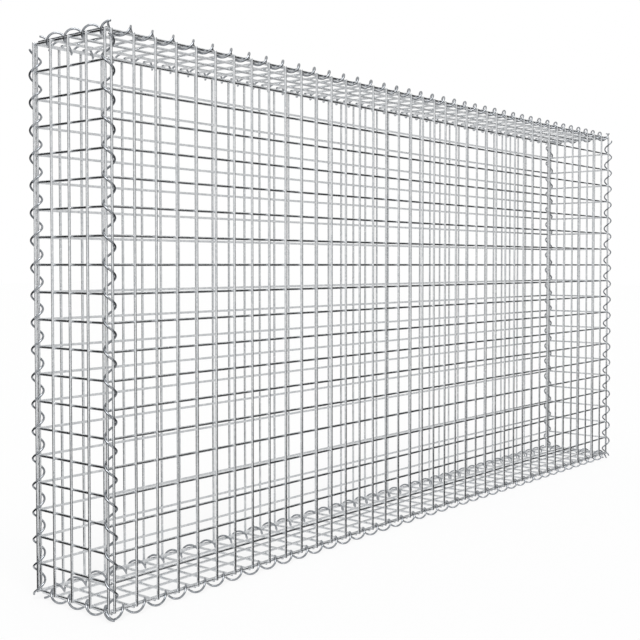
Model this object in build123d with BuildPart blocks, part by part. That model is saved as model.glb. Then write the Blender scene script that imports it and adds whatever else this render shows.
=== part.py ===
"""Empty gabion wall basket: six sheets of welded wire mesh, laced along twelve edges by wire spirals.

Millimetres, +Z up. The front is towards -Y and the length runs along X. The origin is on the ground,
under the middle of the basket, which stands on the turns of its four bottom spirals.
"""
from build123d import *

import os
from math import cos, hypot, radians, sin

# Mesh: cell counts and sizes
LENGTH_CELLS = 40
HEIGHT_CELLS = 20
DEPTH_CELLS = 4
MESH_PITCH = 50.0
MESH_WIRE = 5.0
WELD_SET_IN = 0.5
WIRE_SIDES = 8

# Lacing spirals
SPIRAL_WIRE = 4.0
LACING_GAP = 0.3
SEAT_LEAN = 45.0

# How far each spiral starts before the first mesh wire that it passes, as shares of one turn
UPRIGHT_START_SHARE = 0.17
LONG_START_SHARE = 0.03
SHORT_START_SHARE = 0.13

# Where an upright spiral starts, as an angle about its axis from +X towards +Y
UPRIGHT_START_ANGLE = 235.0

# A spiral is swept in lengths of at most this many turns
SWEEP_TURNS = 20

# Front and back sheets are stored as three bays, cut half-way between two uprights
SIDE_BAY_CELLS = 13

# Sizes worked out from these
wire_radius = MESH_WIRE / 2
layer_step = MESH_WIRE - WELD_SET_IN
side_step = MESH_WIRE + LACING_GAP
turn = MESH_PITCH
length = LENGTH_CELLS * MESH_PITCH
height = HEIGHT_CELLS * MESH_PITCH
depth = DEPTH_CELLS * MESH_PITCH

# At an upright corner the end's edge wire stands outside the wall's rails, and the wall's outside the end's
corner_spacing = hypot(side_step + layer_step, layer_step)
spiral_inner = corner_spacing / 2 + wire_radius + LACING_GAP
spiral_radius = spiral_inner + SPIRAL_WIRE / 2
seat_reach = spiral_inner - wire_radius - LACING_GAP
seat_out = seat_reach * cos(radians(SEAT_LEAN))
seat_up = seat_reach * sin(radians(SEAT_LEAN))

# Levels and planes of the wires' centre lines
floor_level = seat_up + spiral_radius + SPIRAL_WIRE / 2
top_level = floor_level + height
wall_rail_y = depth / 2
wall_upright_y = wall_rail_y + layer_step
end_rail_x = length / 2 + side_step
end_upright_x = end_rail_x + layer_step
lid_edge_y = wall_rail_y - side_step
lid_pitch = 2 * lid_edge_y / DEPTH_CELLS
bay_cut_x = (LENGTH_CELLS / 2 - SIDE_BAY_CELLS - 1 / 2) * MESH_PITCH

rail_levels = [floor_level + row * MESH_PITCH for row in range(HEIGHT_CELLS + 1)]
column_places = [column * MESH_PITCH - length / 2 for column in range(LENGTH_CELLS + 1)]
depth_places = [cell * MESH_PITCH - depth / 2 for cell in range(DEPTH_CELLS + 1)]
lid_places = [cell * lid_pitch - lid_edge_y for cell in range(DEPTH_CELLS + 1)]

os.makedirs("parts", exist_ok=True)


def write(builder, name):
    """Label a finished piece and write it as one STEP file."""
    builder.part.label = name
    export_step(builder.part, f"parts/{name}.step")


def wires(plane, places, run):
    """Add one straight wire of few sides at each place on a plane, along the plane's normal."""
    with BuildSketch(plane) as section:
        with Locations(*places):
            RegularPolygon(wire_radius, WIRE_SIDES, major_radius=False, rotation=180 / WIRE_SIDES)
    extrude(section.sketch, amount=run)


# Cut ends are flush with the edge wires
upright_foot = Plane.XY.offset(floor_level - wire_radius)
upright_run = height + MESH_WIRE
long_start_x = -length / 2 - wire_radius

# Front sheet, left and middle bays: uprights outside, rails welded on inside
front_rail_places = [(-wall_rail_y, z) for z in rail_levels]
with BuildPart() as front_left_bay:
    left_columns = [(x, -wall_upright_y) for x in column_places if x < -bay_cut_x]
    wires(upright_foot, left_columns, upright_run)
    wires(Plane.YZ.offset(long_start_x), front_rail_places, -bay_cut_x - long_start_x)
write(front_left_bay, "front_left_bay")

with BuildPart() as front_middle_bay:
    middle_columns = [(x, -wall_upright_y) for x in column_places if abs(x) < bay_cut_x]
    wires(upright_foot, middle_columns, upright_run)
    wires(Plane.YZ.offset(-bay_cut_x), front_rail_places, 2 * bay_cut_x)
write(front_middle_bay, "front_middle_bay")

# The other bays mirror these two
with BuildPart() as front_right_bay:
    mirror(front_left_bay.part, about=Plane.YZ)
write(front_right_bay, "front_right_bay")

for bay in (front_left_bay, front_middle_bay, front_right_bay):
    with BuildPart() as back_bay:
        mirror(bay.part, about=Plane.XZ)
    write(back_bay, bay.part.label.replace("front", "back"))

# Ends: they stand outside the ends of the front and back rails
with BuildPart() as left_end:
    wires(upright_foot, [(-end_upright_x, y) for y in depth_places], upright_run)
    end_rail_places = [(-end_rail_x, -z) for z in rail_levels]
    end_plane = Plane(origin=(0, -depth / 2 - wire_radius, 0), x_dir=(1, 0, 0), z_dir=(0, 1, 0))
    wires(end_plane, end_rail_places, depth + MESH_WIRE)
write(left_end, "left_end")

with BuildPart() as right_end:
    mirror(left_end.part, about=Plane.YZ)
write(right_end, "right_end")

# Lid and base: long wires level with the top and bottom rails, cross wires welded on outside
for name, level, outward in (("lid", top_level, 1), ("base", floor_level, -1)):
    with BuildPart() as flat_sheet:
        wires(Plane.YZ.offset(long_start_x), [(y, level) for y in lid_places], length + MESH_WIRE)
        cross_level = level + outward * layer_step
        cross_plane = Plane(origin=(0, -lid_edge_y - wire_radius, 0), x_dir=(1, 0, 0), z_dir=(0, 1, 0))
        wires(cross_plane, [(x, -cross_level) for x in column_places], 2 * lid_edge_y + MESH_WIRE)
    write(flat_sheet, name)


def spiral(seat, turns, left_handed):
    """Coil one lacing spiral about a seat plane's normal, starting at the plane's x direction."""
    for first_turn in range(0, turns, SWEEP_TURNS):
        sweep_turns = min(SWEEP_TURNS, turns - first_turn)
        with BuildLine() as coil:
            Helix(turn, sweep_turns * turn, spiral_radius, (0, 0, first_turn * turn), lefthand=left_handed)
        with BuildSketch(Plane(origin=coil.line @ 0, z_dir=coil.line % 0)) as section:
            Circle(SPIRAL_WIRE / 2)
        coil_length = sweep(section.sketch, path=coil.line, is_frenet=True, mode=Mode.PRIVATE)
        add(seat.location * coil_length)


# Upright spirals: each laces a wall's last upright to the end's first one
corner_x = (length / 2 + end_upright_x) / 2
corner_y = (depth / 2 + wall_upright_y) / 2
start_angle = radians(UPRIGHT_START_ANGLE)
with BuildPart() as front_left_spiral:
    start = (-corner_x, -corner_y, floor_level - UPRIGHT_START_SHARE * turn)
    seat = Plane(origin=start, x_dir=(cos(start_angle), sin(start_angle), 0), z_dir=(0, 0, 1))
    spiral(seat, HEIGHT_CELLS, left_handed=True)
write(front_left_spiral, "front_left_spiral")

with BuildPart() as front_right_spiral:
    mirror(front_left_spiral.part, about=Plane.YZ)
write(front_right_spiral, "front_right_spiral")

with BuildPart() as back_left_spiral:
    mirror(front_left_spiral.part, about=Plane.XZ)
write(back_left_spiral, "back_left_spiral")

with BuildPart() as back_right_spiral:
    mirror(back_left_spiral.part, about=Plane.YZ)
write(back_right_spiral, "back_right_spiral")

# Long and short spirals along the lid and the base, seated on the sheet's edge wire
for sheet, level, outward in (("lid", top_level, 1), ("base", floor_level, -1)):
    axis_level = level + outward * seat_up
    first_x = -length / 2 - LONG_START_SHARE * turn
    with BuildPart() as front_spiral:
        start = (first_x, -lid_edge_y - seat_out, axis_level)
        seat = Plane(origin=start, x_dir=(0, 0, outward), z_dir=(1, 0, 0))
        spiral(seat, LENGTH_CELLS, left_handed=True)
    write(front_spiral, f"{sheet}_front_spiral")

    # The back spiral starts and ends half a turn further in, clear of the short spirals' ends
    with BuildPart() as back_spiral:
        start = (first_x + turn / 2, lid_edge_y + seat_out, axis_level)
        seat = Plane(origin=start, x_dir=(0, 0, -outward), z_dir=(1, 0, 0))
        spiral(seat, LENGTH_CELLS - 1, left_handed=False)
    write(back_spiral, f"{sheet}_back_spiral")

    with BuildPart() as left_spiral:
        start = (-end_rail_x + seat_out, -depth / 2 - SHORT_START_SHARE * turn, axis_level)
        seat = Plane(origin=start, x_dir=(0, 0, outward), z_dir=(0, 1, 0))
        spiral(seat, DEPTH_CELLS, left_handed=outward > 0)
    write(left_spiral, f"{sheet}_left_spiral")

    with BuildPart() as right_spiral:
        mirror(left_spiral.part, about=Plane.YZ)
    write(right_spiral, f"{sheet}_right_spiral")
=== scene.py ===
"""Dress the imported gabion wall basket: round galvanised wire, welds and lacing spirals, in studio light."""

import math

import bpy
import numpy as np
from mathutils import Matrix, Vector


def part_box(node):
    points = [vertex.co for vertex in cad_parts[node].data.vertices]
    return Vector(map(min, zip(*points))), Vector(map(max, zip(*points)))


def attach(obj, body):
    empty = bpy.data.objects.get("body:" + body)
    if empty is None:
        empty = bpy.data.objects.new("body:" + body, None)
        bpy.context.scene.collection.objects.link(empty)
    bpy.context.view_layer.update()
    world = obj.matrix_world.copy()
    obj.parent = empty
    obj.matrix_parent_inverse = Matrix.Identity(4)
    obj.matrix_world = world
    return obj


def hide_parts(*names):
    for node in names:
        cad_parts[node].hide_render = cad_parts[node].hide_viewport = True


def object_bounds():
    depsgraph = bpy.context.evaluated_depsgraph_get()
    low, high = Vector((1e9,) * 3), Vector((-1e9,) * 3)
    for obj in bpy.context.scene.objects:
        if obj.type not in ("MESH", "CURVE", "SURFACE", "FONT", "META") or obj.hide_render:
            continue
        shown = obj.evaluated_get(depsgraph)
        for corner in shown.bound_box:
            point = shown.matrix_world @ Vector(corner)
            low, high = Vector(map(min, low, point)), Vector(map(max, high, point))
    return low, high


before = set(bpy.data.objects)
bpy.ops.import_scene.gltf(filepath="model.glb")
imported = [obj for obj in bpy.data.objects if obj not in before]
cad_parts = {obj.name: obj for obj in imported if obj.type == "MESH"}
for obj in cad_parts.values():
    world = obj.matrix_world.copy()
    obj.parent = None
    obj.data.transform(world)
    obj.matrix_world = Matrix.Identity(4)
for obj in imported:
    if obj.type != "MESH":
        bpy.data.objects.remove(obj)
cad_low, cad_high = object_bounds()

# Wire sizes of the frame, in metres
MESH_WIRE = 0.005
SPIRAL_WIRE = 0.004
SPIRAL_PITCH = 0.050
LENGTH_CELLS = 40
HEIGHT_CELLS = 20
DEPTH_CELLS = 4
UPRIGHT_START_ANGLE = 235.0

# How finely the wires are modelled
WIRE_SIDES = 16
SPIRAL_SIDES = 12
SPIRAL_STEPS = 24
END_BEVEL = 0.0005
END_SHOULDER = 0.0012

# Weld beads: the heights of a bead's rings are shares of its half height, and its two ends are cut off flat
WELD_RADIUS = 0.0026
WELD_HALF_HEIGHT = 0.0016
WELD_SIDES = 8
WELD_RING_SHARES = (-1.0, -0.6, 0.0, 0.6, 1.0)
WELD_ROUNDING_SHARE = 1.02

# Zinc: scales of its textures, how they are weighed, and the colours and roughness of the two wires
SPANGLE_SCALE = 260.0
MOTTLE_SCALE = 120.0
MOTTLE_DETAIL = 5.0
MOTTLE_SHARE = 0.55
DARK_SHARE = 0.25
PALE_SHARE = 0.75
LUMP_SCALE = 420.0
LUMP_DETAIL = 3.0
LUMP_STRENGTH = 0.12
LUMP_HEIGHT = 0.0004
MESH_DARK = (0.55, 0.57, 0.59)
MESH_PALE = (0.78, 0.79, 0.80)
MESH_ROUGHNESS = (0.16, 0.34)
SPIRAL_DARK = (0.23, 0.25, 0.27)
SPIRAL_PALE = (0.41, 0.42, 0.44)
SPIRAL_ROUGHNESS = (0.14, 0.30)

# Camera of the photograph, in degrees and millimetres of film, looking down until it is tilted level
CAMERA_PLACE = (-2.1798, -1.5255, 0.6156)
CAMERA_YAW = 50.756
CAMERA_PITCH = -1.839
CAMERA_LEVEL_TILT = 90.0
CAMERA_LENS = 59.624
CAMERA_SENSOR = 36.0
CAMERA_SHIFT_X = 0.0004
CAMERA_SHIFT_Y = -0.0327

# Floor, backdrop and light
FLOOR_HALF_SIZE = 30.0
FLOOR_PAINT = (0.91, 0.91, 0.91, 1.0)
FLOOR_GLOW_SHARE = 0.85
WHITE = (1.0, 1.0, 1.0, 1.0)
BACKDROP_STRENGTH = 1.0
AMBIENT_STRENGTH = 0.65
KEY_STRENGTH = 1.42
KEY_SPREAD = 30.0
KEY_TILT = 28.0
KEY_TURN = -40.0

# Studio cards: headings in degrees from +Y towards +X, sizes in metres
BLACK_STRENGTH = 0.01
GREY_STRENGTH = 0.04
WHITE_STRENGTH = 0.8
FLAG_DISTANCE = 5.0
RIGHT_FLAG_HEADING = 117.0
RIGHT_FLAG_HALF_WIDTH = 3.1
RIGHT_FLAG_TOP = 5.0
LEFT_FLAG_HEADING = -44.0
LEFT_FLAG_HALF_WIDTH = 2.0
LEFT_FLAG_TOP = 4.6
FLOOR_FLAG_START = 0.02
FLOOR_FLAG_REACH = 5.0
FLOOR_FLAG_LEVEL = 0.002
INNER_CARD_MARGIN = 0.03
STRIP_INSET = 0.024
STRIP_OVERSHOOT = 0.07
STRIP_DEPTH = 0.08

X_AXIS, Y_AXIS, Z_AXIS = 0, 1, 2
wire_radius = MESH_WIRE / 2
spiral_wire_radius = SPIRAL_WIRE / 2


# Mesh building

class Shape:
    """Vertices and faces gathered for one mesh."""

    def __init__(self):
        self.points = []
        self.faces = []
        self.flat_faces = []
        self.count = 0

    def rings(self, rings):
        """Join rings of points into a closed tube with a cap at each end."""
        sides = len(rings[0])
        base = self.count
        self.points.extend(rings)
        self.count += sides * len(rings)
        side = np.arange(sides)
        following = (side + 1) % sides
        for step in range(len(rings) - 1):
            here = base + step * sides
            there = here + sides
            quads = np.stack([here + side, here + following, there + following, there + side], axis=1)
            self.faces.extend(quads.tolist())
        self.flat_faces.append((base + side[::-1]).tolist())
        self.flat_faces.append((base + (len(rings) - 1) * sides + side).tolist())

    def build(self, name, material):
        """Make the object, with smooth sides and flat cut ends."""
        mesh = bpy.data.meshes.new(name)
        mesh.from_pydata(np.concatenate(self.points).tolist(), [], self.faces + self.flat_faces)
        smooth = [True] * len(self.faces) + [False] * len(self.flat_faces)
        mesh.polygons.foreach_set("use_smooth", smooth)
        mesh.materials.append(material)
        mesh.update()
        piece = bpy.data.objects.new(name, mesh)
        bpy.context.scene.collection.objects.link(piece)
        return piece


def directions(axis):
    """Unit vectors along one of the frame's axes and along the two that follow it."""
    return np.roll(np.eye(3), -axis, axis=0)


def circle(centre, side_a, side_b, radius, sides):
    """Ring of points about a centre."""
    angles = 2 * math.pi * np.arange(sides) / sides
    return centre + radius * (np.outer(np.cos(angles), side_a) + np.outer(np.sin(angles), side_b))


def straight_wire(shape, start, axis, run):
    """One round wire along an axis, with bevelled ends and a ring that keeps each bevel's shading short."""
    along, side_a, side_b = directions(axis)
    rings = []
    for distance, radius in (
        (0.0, wire_radius - END_BEVEL),
        (END_BEVEL, wire_radius),
        (END_SHOULDER, wire_radius),
        (run - END_SHOULDER, wire_radius),
        (run - END_BEVEL, wire_radius),
        (run, wire_radius - END_BEVEL),
    ):
        rings.append(circle(start + along * distance, side_a, side_b, radius, WIRE_SIDES))
    shape.rings(rings)


def wire_layer(shape, low, high, normal, level, run_axis, spread_axis, places):
    """Like wires side by side at one level of a sheet."""
    for place in places:
        start = np.zeros(3)
        start[normal] = level
        start[spread_axis] = place
        start[run_axis] = low[run_axis]
        straight_wire(shape, start, run_axis, high[run_axis] - low[run_axis])


def weld(shape, centre, axis):
    """Flattened bead of zinc and weld metal where two wires cross."""
    along, side_a, side_b = directions(axis)
    rings = []
    for share in WELD_RING_SHARES:
        radius = WELD_RADIUS * math.sqrt(WELD_ROUNDING_SHARE - share * share)
        rings.append(circle(centre + along * WELD_HALF_HEIGHT * share, side_a, side_b, radius, WELD_SIDES))
    shape.rings(rings)


def joined_box(nodes):
    """Box around several nodes of the frame."""
    boxes = [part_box(node) for node in nodes]
    low = np.min([np.array(box[0]) for box in boxes], axis=0)
    high = np.max([np.array(box[1]) for box in boxes], axis=0)
    return low, high


def mesh_sheet(name, nodes, normal, outward, outer_axis, outer_cells, inner_axis, inner_cells, material):
    """One welded sheet: an outer layer of wires, an inner layer and a weld at each crossing."""
    low, high = joined_box(nodes)
    first = low + wire_radius
    last = high - wire_radius
    if outward > 0:
        outer_level, inner_level = last[normal], first[normal]
    else:
        outer_level, inner_level = first[normal], last[normal]
    outer_places = np.linspace(first[inner_axis], last[inner_axis], outer_cells + 1)
    inner_places = np.linspace(first[outer_axis], last[outer_axis], inner_cells + 1)
    shape = Shape()
    wire_layer(shape, low, high, normal, outer_level, outer_axis, inner_axis, outer_places)
    wire_layer(shape, low, high, normal, inner_level, inner_axis, outer_axis, inner_places)
    for outer_place in outer_places:
        for inner_place in inner_places:
            centre = np.zeros(3)
            centre[normal] = (outer_level + inner_level) / 2
            centre[inner_axis] = outer_place
            centre[outer_axis] = inner_place
            weld(shape, centre, normal)
    piece = shape.build(name, material)
    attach(piece, "root")
    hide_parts(*nodes)


def spiral(node, axis, start_direction, left_handed, material):
    """One lacing spiral, coiled about the middle of its node's box."""
    low, high = (np.array(corner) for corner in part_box(node))
    across = Y_AXIS if axis == X_AXIS else X_AXIS
    radius = (high[across] - low[across]) / 2 - spiral_wire_radius
    turn_length = math.hypot(2 * math.pi * radius, SPIRAL_PITCH)
    end_overhang = spiral_wire_radius * 2 * math.pi * radius / turn_length
    run = high[axis] - low[axis] - 2 * end_overhang
    centre = (low + high) / 2
    centre[axis] = low[axis] + end_overhang
    along = directions(axis)[0]
    first = np.array(start_direction, float)
    second = np.cross(along, first)
    hand = -1.0 if left_handed else 1.0
    steps = int(round(run / SPIRAL_PITCH * SPIRAL_STEPS))
    rings = []
    for step in range(steps + 1):
        share = step / steps
        angle = hand * 2 * math.pi * share * run / SPIRAL_PITCH
        radial = math.cos(angle) * first + math.sin(angle) * second
        tangent = hand * 2 * math.pi * radius * (math.cos(angle) * second - math.sin(angle) * first)
        tangent = (tangent + SPIRAL_PITCH * along) / turn_length
        binormal = np.cross(tangent, radial)
        place = centre + along * share * run + radial * radius
        if step in (0, steps):
            inward = 1.0 if step == 0 else -1.0
            bevelled = place + tangent * END_BEVEL * inward
            tip = circle(place, radial, binormal, spiral_wire_radius - END_BEVEL, SPIRAL_SIDES)
            shoulder = circle(bevelled, radial, binormal, spiral_wire_radius, SPIRAL_SIDES)
            rings.extend([tip, shoulder] if step == 0 else [shoulder, tip])
        else:
            rings.append(circle(place, radial, binormal, spiral_wire_radius, SPIRAL_SIDES))
    shape = Shape()
    shape.rings(rings)
    piece = shape.build(node + "_wire", material)
    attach(piece, "root")
    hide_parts(node)


# Materials

def zinc(name, dark, pale, roughness):
    """Hot-dip galvanised steel: pale spangle with finer mottling and a slightly lumpy skin."""
    material = bpy.data.materials.new(name)
    material.use_nodes = True
    nodes = material.node_tree.nodes
    links = material.node_tree.links
    shader = nodes["Principled BSDF"]
    shader.inputs["Metallic"].default_value = 1.0
    place = nodes.new("ShaderNodeTexCoord")
    spangle = nodes.new("ShaderNodeTexVoronoi")
    spangle.inputs["Scale"].default_value = SPANGLE_SCALE
    mottle = nodes.new("ShaderNodeTexNoise")
    mottle.inputs["Scale"].default_value = MOTTLE_SCALE
    mottle.inputs["Detail"].default_value = MOTTLE_DETAIL
    blend = nodes.new("ShaderNodeMix")
    blend.inputs[0].default_value = MOTTLE_SHARE
    links.new(place.outputs["Object"], spangle.inputs["Vector"])
    links.new(place.outputs["Object"], mottle.inputs["Vector"])
    links.new(spangle.outputs["Color"], blend.inputs[2])
    links.new(mottle.outputs["Fac"], blend.inputs[3])
    tint = nodes.new("ShaderNodeValToRGB")
    tint.color_ramp.elements[0].position = DARK_SHARE
    tint.color_ramp.elements[0].color = (*dark, 1.0)
    tint.color_ramp.elements[1].position = PALE_SHARE
    tint.color_ramp.elements[1].color = (*pale, 1.0)
    links.new(blend.outputs[0], tint.inputs["Fac"])
    links.new(tint.outputs["Color"], shader.inputs["Base Color"])
    gloss = nodes.new("ShaderNodeMapRange")
    gloss.inputs["To Min"].default_value, gloss.inputs["To Max"].default_value = roughness
    links.new(mottle.outputs["Fac"], gloss.inputs["Value"])
    links.new(gloss.outputs["Result"], shader.inputs["Roughness"])
    lumps = nodes.new("ShaderNodeTexNoise")
    lumps.inputs["Scale"].default_value = LUMP_SCALE
    lumps.inputs["Detail"].default_value = LUMP_DETAIL
    links.new(place.outputs["Object"], lumps.inputs["Vector"])
    bump = nodes.new("ShaderNodeBump")
    bump.inputs["Strength"].default_value = LUMP_STRENGTH
    bump.inputs["Distance"].default_value = LUMP_HEIGHT
    links.new(lumps.outputs["Fac"], bump.inputs["Height"])
    links.new(bump.outputs["Normal"], shader.inputs["Normal"])
    return material


def rays_of(nodes, links, kinds):
    """Socket that is 1 for the named kinds of ray and 0 for all others."""
    path = nodes.new("ShaderNodeLightPath")
    chosen = path.outputs[kinds[0]]
    for kind in kinds[1:]:
        either = nodes.new("ShaderNodeMath")
        either.operation = "MAXIMUM"
        links.new(chosen, either.inputs[0])
        links.new(path.outputs[kind], either.inputs[1])
        chosen = either.outputs[0]
    return chosen


def pale_floor_material():
    """White floor that keeps a soft shadow."""
    material = bpy.data.materials.new("pale_floor")
    material.use_nodes = True
    nodes = material.node_tree.nodes
    links = material.node_tree.links
    nodes.remove(nodes["Principled BSDF"])
    paint = nodes.new("ShaderNodeBsdfDiffuse")
    paint.inputs["Color"].default_value = FLOOR_PAINT
    glow = nodes.new("ShaderNodeEmission")
    glow.inputs["Strength"].default_value = BACKDROP_STRENGTH
    share = nodes.new("ShaderNodeMath")
    share.operation = "MULTIPLY"
    share.inputs[1].default_value = FLOOR_GLOW_SHARE
    links.new(rays_of(nodes, links, ("Is Camera Ray", "Is Glossy Ray")), share.inputs[0])
    mix = nodes.new("ShaderNodeMixShader")
    links.new(share.outputs[0], mix.inputs[0])
    links.new(paint.outputs[0], mix.inputs[1])
    links.new(glow.outputs[0], mix.inputs[2])
    links.new(mix.outputs[0], nodes["Material Output"].inputs["Surface"])
    return material


def card_material(name, strength):
    """Evenly lit studio card, from black cloth to white board."""
    material = bpy.data.materials.new(name)
    material.use_nodes = True
    nodes = material.node_tree.nodes
    links = material.node_tree.links
    nodes.remove(nodes["Principled BSDF"])
    glow = nodes.new("ShaderNodeEmission")
    glow.inputs["Strength"].default_value = strength
    links.new(glow.outputs[0], nodes["Material Output"].inputs["Surface"])
    return material


mesh_zinc = zinc("galvanised_mesh_wire", MESH_DARK, MESH_PALE, MESH_ROUGHNESS)
spiral_zinc = zinc("galvanised_spiral_wire", SPIRAL_DARK, SPIRAL_PALE, SPIRAL_ROUGHNESS)

# Sheets
bays = ("left_bay", "middle_bay", "right_bay")
front_nodes = [f"front_{bay}" for bay in bays]
back_nodes = [f"back_{bay}" for bay in bays]
mesh_sheet("front_sheet", front_nodes, Y_AXIS, -1, Z_AXIS, LENGTH_CELLS, X_AXIS, HEIGHT_CELLS, mesh_zinc)
mesh_sheet("back_sheet", back_nodes, Y_AXIS, 1, Z_AXIS, LENGTH_CELLS, X_AXIS, HEIGHT_CELLS, mesh_zinc)
mesh_sheet("left_end_sheet", ["left_end"], X_AXIS, -1, Z_AXIS, DEPTH_CELLS, Y_AXIS, HEIGHT_CELLS, mesh_zinc)
mesh_sheet("right_end_sheet", ["right_end"], X_AXIS, 1, Z_AXIS, DEPTH_CELLS, Y_AXIS, HEIGHT_CELLS, mesh_zinc)
mesh_sheet("lid_sheet", ["lid"], Z_AXIS, 1, Y_AXIS, LENGTH_CELLS, X_AXIS, DEPTH_CELLS, mesh_zinc)
mesh_sheet("base_sheet", ["base"], Z_AXIS, -1, Y_AXIS, LENGTH_CELLS, X_AXIS, DEPTH_CELLS, mesh_zinc)

# Spirals
start_angle = math.radians(UPRIGHT_START_ANGLE)
for side, y_sign in (("front", 1), ("back", -1)):
    for end, x_sign in (("left", 1), ("right", -1)):
        direction = (x_sign * math.cos(start_angle), y_sign * math.sin(start_angle), 0)
        spiral(f"{side}_{end}_spiral", Z_AXIS, direction, x_sign * y_sign > 0, spiral_zinc)
for sheet, outward in (("lid", 1), ("base", -1)):
    spiral(f"{sheet}_front_spiral", X_AXIS, (0, 0, outward), True, spiral_zinc)
    spiral(f"{sheet}_back_spiral", X_AXIS, (0, 0, -outward), False, spiral_zinc)
    spiral(f"{sheet}_left_spiral", Y_AXIS, (0, 0, outward), outward > 0, spiral_zinc)
    spiral(f"{sheet}_right_spiral", Y_AXIS, (0, 0, outward), outward < 0, spiral_zinc)


# Studio

def plane(name, centre, side_a, side_b, material):
    """Flat rectangle of the stage, from a centre and two half sides."""
    centre, side_a, side_b = (np.array(part, float) for part in (centre, side_a, side_b))
    corners = [
        centre - side_a - side_b,
        centre + side_a - side_b,
        centre + side_a + side_b,
        centre - side_a + side_b,
    ]
    mesh = bpy.data.meshes.new(name)
    mesh.from_pydata([corner.tolist() for corner in corners], [], [(0, 1, 2, 3)])
    mesh.materials.append(material)
    card = bpy.data.objects.new(name, mesh)
    bpy.context.scene.collection.objects.link(card)
    return card


def reflected_only(card):
    """Keep a studio card to reflections in the wire, out of the picture and its shadows."""
    card.visible_camera = False
    card.visible_diffuse = False
    card.visible_shadow = False
    card.visible_transmission = False


plane("floor", (0, 0, 0), (FLOOR_HALF_SIZE, 0, 0), (0, FLOOR_HALF_SIZE, 0), pale_floor_material())

# Dark flags: an upright one and one on the floor, on either side of the camera
black = card_material("black_flag", BLACK_STRENGTH)
grey = card_material("grey_floor_flag", GREY_STRENGTH)
for name, heading, half_width, top in (
    ("right_flag", RIGHT_FLAG_HEADING, RIGHT_FLAG_HALF_WIDTH, RIGHT_FLAG_TOP),
    ("left_flag", LEFT_FLAG_HEADING, LEFT_FLAG_HALF_WIDTH, LEFT_FLAG_TOP),
):
    toward = np.array([math.sin(math.radians(heading)), math.cos(math.radians(heading)), 0])
    sideways = np.array([toward[1], -toward[0], 0])
    centre = toward * FLAG_DISTANCE + (0, 0, top / 2)
    reflected_only(plane(name, centre, sideways * half_width, (0, 0, top / 2), black))
half_reach = FLOOR_FLAG_REACH / 2
front_y = cad_low[1] - FLOOR_FLAG_START - half_reach
left_x = cad_low[0] - FLOOR_FLAG_START - half_reach
right_middle = (cad_low[0] + FLOOR_FLAG_REACH, front_y, FLOOR_FLAG_LEVEL)
left_middle = (left_x, cad_low[1] + half_reach, FLOOR_FLAG_LEVEL)
reflected_only(plane("right_floor_flag", right_middle, (FLOOR_FLAG_REACH, 0, 0), (0, half_reach, 0), grey))
reflected_only(plane("left_floor_flag", left_middle, (half_reach, 0, 0), (0, half_reach, 0), grey))

# White card along the middle of the basket, which lightens the far wires
white = card_material("white_card", WHITE_STRENGTH)
half_length = (cad_high[0] - cad_low[0]) / 2 - INNER_CARD_MARGIN
half_height = (cad_high[2] - cad_low[2]) / 2 - INNER_CARD_MARGIN
middle = [(low + high) / 2 for low, high in zip(cad_low, cad_high)]
reflected_only(plane("inner_card", middle, (half_length, 0, 0), (0, 0, half_height), white))

# White strips beside the lid and the base, inside the front and the back
strip_half = (STRIP_OVERSHOOT + STRIP_DEPTH) / 2
strip_heights = {
    "lid": cad_high[2] + STRIP_OVERSHOOT - strip_half,
    "base": cad_low[2] + STRIP_DEPTH + FLOOR_FLAG_LEVEL - strip_half,
}
strip_depths = {"front": cad_low[1] + STRIP_INSET, "back": cad_high[1] - STRIP_INSET}
for sheet, height in strip_heights.items():
    for side, depth in strip_depths.items():
        strip_middle = (middle[0], depth, height)
        strip_name = f"{sheet}_{side}_strip"
        reflected_only(plane(strip_name, strip_middle, (half_length, 0, 0), (0, 0, strip_half), white))

# World: an even light, and a white backdrop for the camera and for reflections
world = bpy.data.worlds.new("studio")
bpy.context.scene.world = world
world.use_nodes = True
world_nodes = world.node_tree.nodes
world_links = world.node_tree.links
ambient = world_nodes["Background"]
ambient.inputs["Color"].default_value = WHITE
ambient.inputs["Strength"].default_value = AMBIENT_STRENGTH
backdrop = world_nodes.new("ShaderNodeBackground")
backdrop.inputs["Color"].default_value = WHITE
backdrop.inputs["Strength"].default_value = BACKDROP_STRENGTH
backdrop_rays = rays_of(world_nodes, world_links, ("Is Camera Ray", "Is Glossy Ray", "Is Transmission Ray"))
mix = world_nodes.new("ShaderNodeMixShader")
world_links.new(backdrop_rays, mix.inputs[0])
world_links.new(ambient.outputs[0], mix.inputs[1])
world_links.new(backdrop.outputs[0], mix.inputs[2])
world_links.new(mix.outputs[0], world_nodes["World Output"].inputs["Surface"])

# Key light
key_data = bpy.data.lights.new("key", "SUN")
key_data.energy = KEY_STRENGTH
key_data.angle = math.radians(KEY_SPREAD)
key = bpy.data.objects.new("key", key_data)
key.rotation_euler = (math.radians(KEY_TILT), 0, math.radians(KEY_TURN))
bpy.context.scene.collection.objects.link(key)

# Camera
camera_data = bpy.data.cameras.new("photo_camera")
camera_data.lens = CAMERA_LENS
camera_data.sensor_width = CAMERA_SENSOR
camera_data.sensor_fit = "HORIZONTAL"
camera_data.shift_x = CAMERA_SHIFT_X
camera_data.shift_y = CAMERA_SHIFT_Y
camera = bpy.data.objects.new("photo_camera", camera_data)
camera.location = CAMERA_PLACE
camera.rotation_euler = (math.radians(CAMERA_LEVEL_TILT + CAMERA_PITCH), 0, math.radians(-CAMERA_YAW))
bpy.context.scene.collection.objects.link(camera)
bpy.context.scene.camera = camera
bpy.context.scene.view_settings.view_transform = "Standard"
